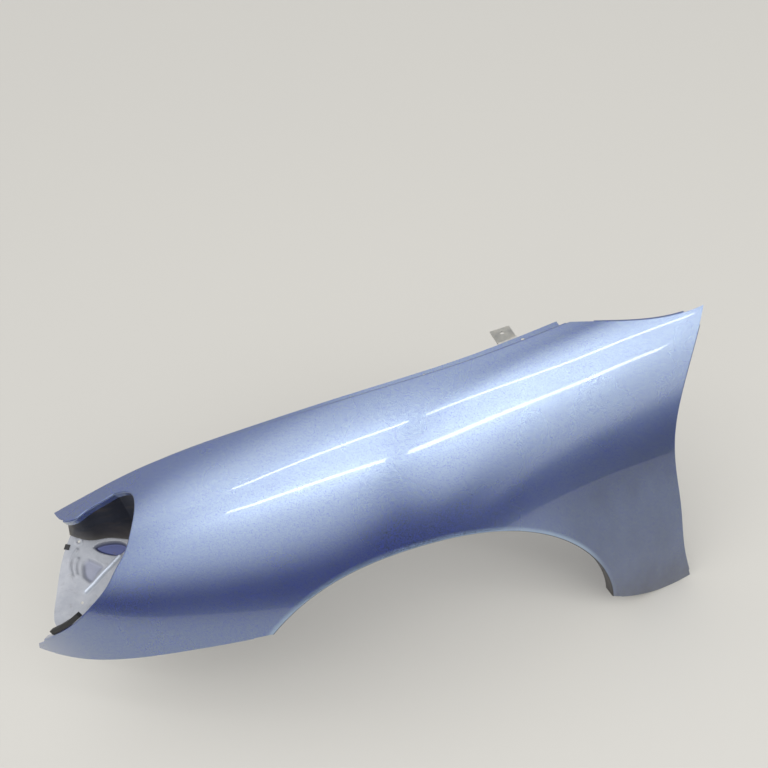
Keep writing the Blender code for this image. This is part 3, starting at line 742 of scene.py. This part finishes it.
def makeSkin(grid, stripGrid, flanges):
    fineGrid = withEdgeRows(grid, panel["edgeCellShare"])
    shell = joined([sheetGrid(crownPoint(fineGrid[..., 0], fineGrid[..., 1])),
                    sheetGrid(crownPoint(stripGrid[..., 0], stripGrid[..., 1]))]
                   + [sheetGrid(rows) for rows in flanges.values()])
    middleRow, middleColumn = (n // 2 for n in grid.shape[:2])
    middle = grid[middleRow, middleColumn]
    faceOut(shell, Vector(crownPoint(*middle)) - padPlace, crownNormal(*middle))
    skin = newPiece("fenderSkin", shell, [skinPaint, backPaint])
    addThickness(skin, panel["sheet"], 1)
    holes = [(*onFlange(flanges[key], share), panel[size]) for key, size in (
        ("hood", "boltHole"), ("seam", "screwHole"), ("arch", "screwHole"), ("foot", "boltHole"))
        for share in edgeShares[key + "Holes"]]
    tool = punched(skin, holes)
    settled(skin)
    bpy.data.objects.remove(tool, do_unlink=True)
    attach(skin, "root")
    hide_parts("outer_skin")
    print("skin made,", len(skin.data.polygons), "faces")


finer = panel["finer"]
grid, stripGrid = skinGrids(finer)
rootRows = cells["root"] * finer
lampPairs = np.concatenate([stripGrid[-1][:-1], grid[rootRows:, 0]])[finer:-finer]
lampInner = np.concatenate([stripGrid[-2][:-1], grid[rootRows:, 1]])[finer:-finer]
makeSkin(grid, stripGrid, skinFlanges(grid, stripGrid, lampPairs, lampInner, finer))

# lamp bucket: a side wall under the inner strip, and a pan below it
bucket = {
    "sheet": 0.0011,
    "gap": 0.0003,
    "slopeDeg": 22.4,
    "fallDeg": 7.6,
    "heightShare": 0.530,
    "insetShare": 0.760,
    "wallSeam": 0.0110,
    "wallFlare": 0.0240,
    "wallLead": 0.0165,
    "wallDrop": 0.0040,
    "frontBulge": 0.0310,
    "frontKnots": (0, 0.20, 0.40, 0.60, 0.80, 0.92, 1.0),
    "frontShares": (0, 0.46, 0.735, 0.89, 1.0, 0.70, 0),
    "wallCells": 9,
    "noseCells": 3,
    "wallEnd": 0.80,
    "trayEnd": 0.97,
    "wallColumns": 110,
    "trayColumns": 150,
    "trayRows": 150,
    "footBend": 0.0030,
    "footBendSteps": 6,
    "uprightShares": (0, 0.02, 0.25, 0.5, 0.75, 0.98),  # rows down the wall and across its foot
    "ledgeShares": (0.1, 0.9, 1.0),
    "brownRows": (4.3, 6.3),  # the rows between which the wall's near-black painted shade turns to its foot's lighter brownish grey
    "facing": (3, 10),        # a row and column whose face looks out of the opening
    "facingWay": (0.0, -1.0, 0.4),
}
pan = {  # pressed forms, by their places in plan from the wheel's centre
    "pocket": ((-0.5394, 0.3864), (-0.5304, 0.3906), (-0.5121, 0.3905), (-0.4914, 0.3851),
               (-0.4809, 0.3749), (-0.4883, 0.3666), (-0.5020, 0.3627), (-0.5187, 0.3690), (-0.5315, 0.3769)),
    "pocketDepth": 0.0070,
    "pocketSlope": 0.0050,
    "dish": ((-0.5681, 0.3400), (-0.5662, 0.3576), (-0.5598, 0.3668), (-0.5512, 0.3692), (-0.5435, 0.3635),
             (-0.5300, 0.3500), (-0.5400, 0.3400), (-0.5560, 0.3270)),
    "dishDepth": 0.0032,
    # how much of the pocket's painted shade the dish takes
    "dishTint": 0.42,
    "dishSlope": 0.0090,
    "ridges": (((-0.5850, 0.3444), (-0.5860, 0.3610), (-0.5800, 0.3776), (-0.5686, 0.3894)),
               ((-0.5775, 0.3461), (-0.5764, 0.3603), (-0.5701, 0.3732))),
    "ridgeHeight": 0.0020,
    "ridgeWidth": 0.0024,
    "fold": ((-0.5684, 0.3133), (-0.5521, 0.3232), (-0.5332, 0.3362), (-0.5145, 0.3476), (-0.4974, 0.3588)),
    "foldHeight": 0.0035,
    "foldWidth": 0.0030,
    "earHole": (-0.5621, 0.4034),
    "earRing": 0.0052,
    "earWidth": 0.0018,
    "earHeight": 0.0012,
    "earDiameter": 0.0052,
    "drainHole": (-0.5784, 0.2970),
    "drainDiameter": 0.0050,
    "pressStart": 0.3,     # share of a slope that lies outside its outline
    "ridgeSamples": 24,
}
lampEdge, lampNormal, lampAway = edgeFrames(lampPairs, lampInner)
cornerAt = cells["strip"] - 1


def trayLevel(x, y):
    rearward = x - edgeShares["stripEnd"][-1][0] * panel["length"]
    inboard = y - bucket["insetShare"] * panel["depth"]
    return (bucket["heightShare"] * panel["height"] - math.tan(math.radians(bucket["fallDeg"])) * rearward
            + math.tan(math.radians(bucket["slopeDeg"])) * inboard)


def bucketRows(at):  # top, flange level and foot of the bucket's wall, at places along the opening
    run = np.arange(len(lampEdge)) / finer
    p, n, away = (np.stack([np.interp(at, run, f[:, i]) for i in range(3)], -1)
                  for f in (lampEdge, lampNormal, lampAway))
    back = away * (panel["bend"] - panel["sheet"] - bucket["gap"])
    upper = p + back - n * (panel["bend"] + panel["sheet"] + bucket["gap"])
    level = p + back - n * (panel["bend"] + panel["lampReturn"] + panel["sheet"])
    foot = level.copy()
    nose = np.clip(1 - at / bucket["noseCells"], 0, 1)
    foot[:, 0] -= bucket["wallLead"] * nose
    foot[:, 1] += bucket["wallFlare"] * np.clip(1 - at / cornerAt, 0, 1) - bucket["wallDrop"] * nose
    foot[:, 2] = trayLevel(foot[:, 0], foot[:, 1])
    return upper, level, foot


def planOut(path):
    t = np.gradient(path, axis=0)
    out = np.stack([-t[:, 1], t[:, 0], np.zeros(len(t))], -1)
    return out / np.linalg.norm(out, axis=1, keepdims=True)


def makeSideWall():
    lift = bucket["gap"] / math.cos(math.radians(bucket["slopeDeg"]))
    at = np.linspace(0, cornerAt + bucket["wallCells"] + bucket["wallEnd"], bucket["wallColumns"])
    upper, level, foot = bucketRows(at)
    raised = foot + (0, 0, lift)
    reach = np.sqrt(np.cos(np.clip(at - cornerAt, 0, None) / (bucket["wallCells"] + 1) * math.pi / 2))
    out = planOut(foot)
    ledge = raised + out * bucket["wallSeam"] * reach[:, None]
    ledge[:, 2] = trayLevel(ledge[:, 0], ledge[:, 1]) + lift
    rise = (level - raised) / np.linalg.norm(level - raised, axis=1, keepdims=True)
    seam = (ledge - raised) / np.linalg.norm(ledge - raised, axis=1, keepdims=True)
    bend = [raised + rise * bucket["footBend"] * a ** 2 + seam * bucket["footBend"] * (1 - a) ** 2
            for a in np.linspace(1, 0, bucket["footBendSteps"] + 1)]
    upright = [level + (bend[0] - level) * share for share in bucket["uprightShares"]]
    across = [bend[-1] + (ledge - bend[-1]) * share for share in bucket["ledgeShares"]]
    rows = [upper] + upright + bend + across
    shape = sheetGrid(np.stack(rows))
    low = np.interp(np.arange(len(rows)), bucket["brownRows"], (0, 1))
    spread(shape, "low", np.repeat(low, len(at)))
    row, column = bucket["facing"]
    faceOut(shape, Vector(upright[row][column]) - padPlace, bucket["facingWay"])
    wall = newPiece("lampSideWall", shape, [wallFinish])
    addThickness(wall, bucket["sheet"], evenOffset=False)
    settled(wall)
    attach(wall, "root")
    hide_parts("lamp_side_wall")
    print("side wall made")


def distanceInside(plan, corners):  # how far inside a closed outline each place is, negative outside
    corners = np.array(corners)
    nearest = np.full(plan.shape[:2], np.inf)
    inside = np.zeros(plan.shape[:2], bool)
    for start, end in zip(corners, np.roll(corners, -1, axis=0)):
        nearest = np.minimum(nearest, distanceTo(plan, (start, end)))
        crosses = (start[1] > plan[..., 1]) != (end[1] > plan[..., 1])
        drop = end[1] - start[1] or 1.0
        inside ^= crosses & (plan[..., 0] < start[0] + (end[0] - start[0]) / drop * (plan[..., 1] - start[1]))
    return np.where(inside, nearest, -nearest)


def distanceTo(plan, path):
    nearest = np.full(plan.shape[:2], np.inf)
    path = np.array(path)
    for start, end in zip(path[:-1], path[1:]):
        along = end - start
        share = np.clip(((plan - start) @ along) / (along @ along), 0, 1)
        nearest = np.minimum(nearest, np.linalg.norm(plan - start - share[..., None] * along, axis=-1))
    return nearest


def throughPoints(points, count):
    return naturalCurve(range(len(points)), points, np.linspace(0, len(points) - 1, count))


def rounded(corners, steps=6):  # a smooth closed outline through the corners
    return throughPoints(corners + corners[:1], len(corners) * steps + 1)[:-1]


def pressedPan(floor):
    plan = floor[..., :2]

    def sunk(name):
        inward = distanceInside(plan, rounded(pan[name]))
        return smoothStep(inward / pan[name + "Slope"] + pan["pressStart"])

    def raised(distance, width):
        return np.exp(-(distance / width) ** 2)

    pocket, dish = sunk("pocket"), sunk("dish")
    ridge = sum(raised(distanceTo(plan, throughPoints(path, pan["ridgeSamples"])), pan["ridgeWidth"])
                for path in pan["ridges"])
    fold = raised(distanceTo(plan, pan["fold"]), pan["foldWidth"])
    ear = raised(np.linalg.norm(plan - pan["earHole"], axis=-1) - pan["earRing"], pan["earWidth"])
    height = (pan["foldHeight"] * fold + pan["ridgeHeight"] * ridge + pan["earHeight"] * ear
              - pan["pocketDepth"] * pocket - pan["dishDepth"] * dish)
    lifted = floor.copy()
    lifted[..., 2] += height
    # the second mask places the painted shade, the third the painted highlight
    return lifted, np.clip(pocket + pan["dishTint"] * dish, 0, 1), fold


def makeTray():
    last = (len(lampEdge) - 1) / finer + 1 - bucket["noseCells"]
    start = cornerAt + bucket["wallCells"] + bucket["trayEnd"]
    n, m = bucket["trayRows"], bucket["trayColumns"]
    outerUpper, outerLevel, outer = bucketRows(np.linspace(last, start, m + 1))
    inboard = bucketRows(np.linspace(0, cornerAt, m + 1))[2]
    inboard = inboard + planOut(inboard) * bucket["wallSeam"]
    rear = bucketRows(np.linspace(cornerAt, start, n + 1))[2]
    rear = rear + planOut(rear) * bucket["wallSeam"] * np.sqrt(np.cos(even(n) * math.pi / 2))[:, None]
    rear[0] = inboard[-1]
    rear[-1] = outer[-1]
    v = even(n)[:, None]
    free = inboard[0] * (1 - v) + outer[0] * v
    free[:, 0] -= bucket["frontBulge"] * naturalCurve(bucket["frontKnots"], bucket["frontShares"], even(n))
    floor = filled(inboard, rear, outer, free, even(m), even(n))
    floor[..., 2] = trayLevel(floor[..., 0], floor[..., 1])
    floor, recessShade, crestHighlight = pressedPan(floor)
    rows = np.concatenate([floor, outerLevel[None], outerUpper[None]])
    shape = sheetGrid(rows)
    for name, values in (("recessShade", recessShade), ("crestHighlight", crestHighlight)):
        spread(shape, name, np.concatenate([values, np.zeros((2, m + 1))]).ravel())
    faceOut(shape, Vector(floor[n // 2, m // 2]) - padPlace, (0, 0, 1))
    tray = newPiece("lampTray", shape, [trayFinish])
    addThickness(tray, bucket["sheet"], evenOffset=False)
    up = (0, -math.tan(math.radians(bucket["slopeDeg"])), 1)
    tool = punched(tray, [((*place, trayLevel(*place)), up, size) for place, size in (
        (pan["earHole"], pan["earDiameter"]), (pan["drainHole"], pan["drainDiameter"]))])
    settled(tray)
    bpy.data.objects.remove(tool, do_unlink=True)
    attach(tray, "root")
    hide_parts("lamp_tray")
    print("tray made")


makeSideWall()
makeTray()

finishOf = {
    "corner_packing": rubberFinish,
    "tray_clip": rubberFinish,
    "cowl_bracket": zincFinish,
    "sill_bracket": zincFinish,
    "seam_spring_nut_1": zincFinish,
    "seam_spring_nut_2": zincFinish,
    "seam_spring_nut_3": zincFinish,
}
for name, finish in finishOf.items():
    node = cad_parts[name]
    node.data.materials.clear()
    node.data.materials.append(finish)
print("solids finished")

# floor, light and camera
studio = {
    "floorRadius": 3.9,
    "floorCentre": (-1.6, 1.6),
    "floorColours": ((0.52, 0.507, 0.473), (0.49, 0.49, 0.49)),
    "floorSegments": 96,
    "floorMottle": ((0.8, 2.0), 0.3, 0.7, 0.0, 0.06),
    "floorRoughness": 0.75,
    "baseLight": 0.05,
    "horizon": (-0.04, 0.06),
    "softLights": (  # towards, where it fades out and in, as cosines, and brightness
        ((0.000, 0.995, 0.100), -0.100, 0.500, 0.45),
        ((-0.471, -0.345, 0.812), 0.637, 1.186, 2.37),
        ((0.419, -0.636, 0.648), 0.827, 1.045, 2.97),
        ((0.716, -0.693, 0.084), 0.876, 1.112, 3.20),
        ((-0.100, 0.027, 0.995), 0.743, 0.863, 0.82),
        ((-0.605, 0.409, 0.683), 0.946, 1.083, 3.20)),
    "stripBrightness": 10.0,
    "strips": (  # start, end and width of the long ceiling lamps
        ((-2.183, 0.497, 2.538), (-0.460, -0.552, 2.335), 0.060),
        ((-0.229, -0.692, 2.308), (3.156, -2.752, 1.909), 0.065),
        ((-2.503, -0.408, 2.692), (-0.802, -1.443, 2.492), 0.100),
        ((-0.426, -1.672, 2.448), (4.228, -4.504, 1.899), 0.125)),
}


def makeFloor():
    shape = bmesh.new()
    bmesh.ops.create_circle(
        shape, cap_ends=True, segments=studio["floorSegments"], radius=studio["floorRadius"])
    bmesh.ops.translate(shape, verts=shape.verts, vec=(*studio["floorCentre"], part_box("outer_skin")[0].z))
    f = Finish("floorPaint", Roughness=studio["floorRoughness"])
    f.show(Base_Color=f.mix(f.patches(*studio["floorMottle"]), *studio["floorColours"]))
    floor = newPiece("floor", shape, [f.material])


def makeSky():
    world = bpy.data.worlds.new("sky")
    bpy.context.scene.world = world
    world.use_nodes = True
    sky = NodeMaker(world.node_tree)
    direction = sky.coordinates("Generated")
    total = 0.0
    for axis, fadeOut, fadeIn, brightness in studio["softLights"]:
        towards = sky.node(
            "ShaderNodeVectorMath", {"operation": "DOT_PRODUCT"}, {0: direction, 1: axis}, "Value")
        total = total + sky.range(towards, fadeOut, fadeIn, 0.0, brightness, soft=True)
    height = sky.node("ShaderNodeSeparateXYZ", {}, {"Vector": direction}, "Z")
    total = total * sky.range(height, *studio["horizon"], soft=True) + studio["baseLight"]
    background = world.node_tree.nodes["Background"]
    background.inputs["Color"].default_value = (1, 1, 1, 1)
    sky.feed(background.inputs["Strength"], total)


def makeStrip(number, start, end, width):
    start, end = Vector(start), Vector(end)
    length = (end - start).length
    lamp = bpy.data.lights.new("strip" + str(number), "AREA")
    lamp.shape = "RECTANGLE"
    lamp.size = length
    lamp.size_y = width
    lamp.energy = studio["stripBrightness"] * math.pi * length * width
    along = (end - start).normalized()
    side = Vector((0, 0, 1)).cross(along).normalized()
    turn = Matrix((along, side, along.cross(side))).transposed().to_4x4()
    turn.translation = (start + end) / 2
    thing = bpy.data.objects.new(lamp.name, lamp)
    thing.matrix_world = turn
    bpy.context.scene.collection.objects.link(thing)


view = {
    "place": (-0.4018, -0.9975, 0.9882),
    "aim": (-0.2263, -0.0164, 0.0051),
    "right": (0.9412, -0.3078, -0.1390),
    "lens": 39.375,
    "sensor": 36.0,
}


def makeCamera():
    data = bpy.data.cameras.new("camera")
    data.lens = view["lens"]
    data.sensor_width = view["sensor"]
    back = (Vector(view["place"]) - Vector(view["aim"])).normalized()
    right = Vector(view["right"]).normalized()
    upward = back.cross(right).normalized()
    turn = Matrix((upward.cross(back), upward, back)).transposed().to_4x4()
    turn.translation = view["place"]
    camera = bpy.data.objects.new("camera", data)
    camera.matrix_world = turn
    bpy.context.scene.collection.objects.link(camera)
    bpy.context.scene.camera = camera


makeFloor()
makeSky()
for number, strip in enumerate(studio["strips"], 1):
    makeStrip(number, *strip)
makeCamera()
bpy.context.scene.view_settings.view_transform = "Standard"
print("stage set")
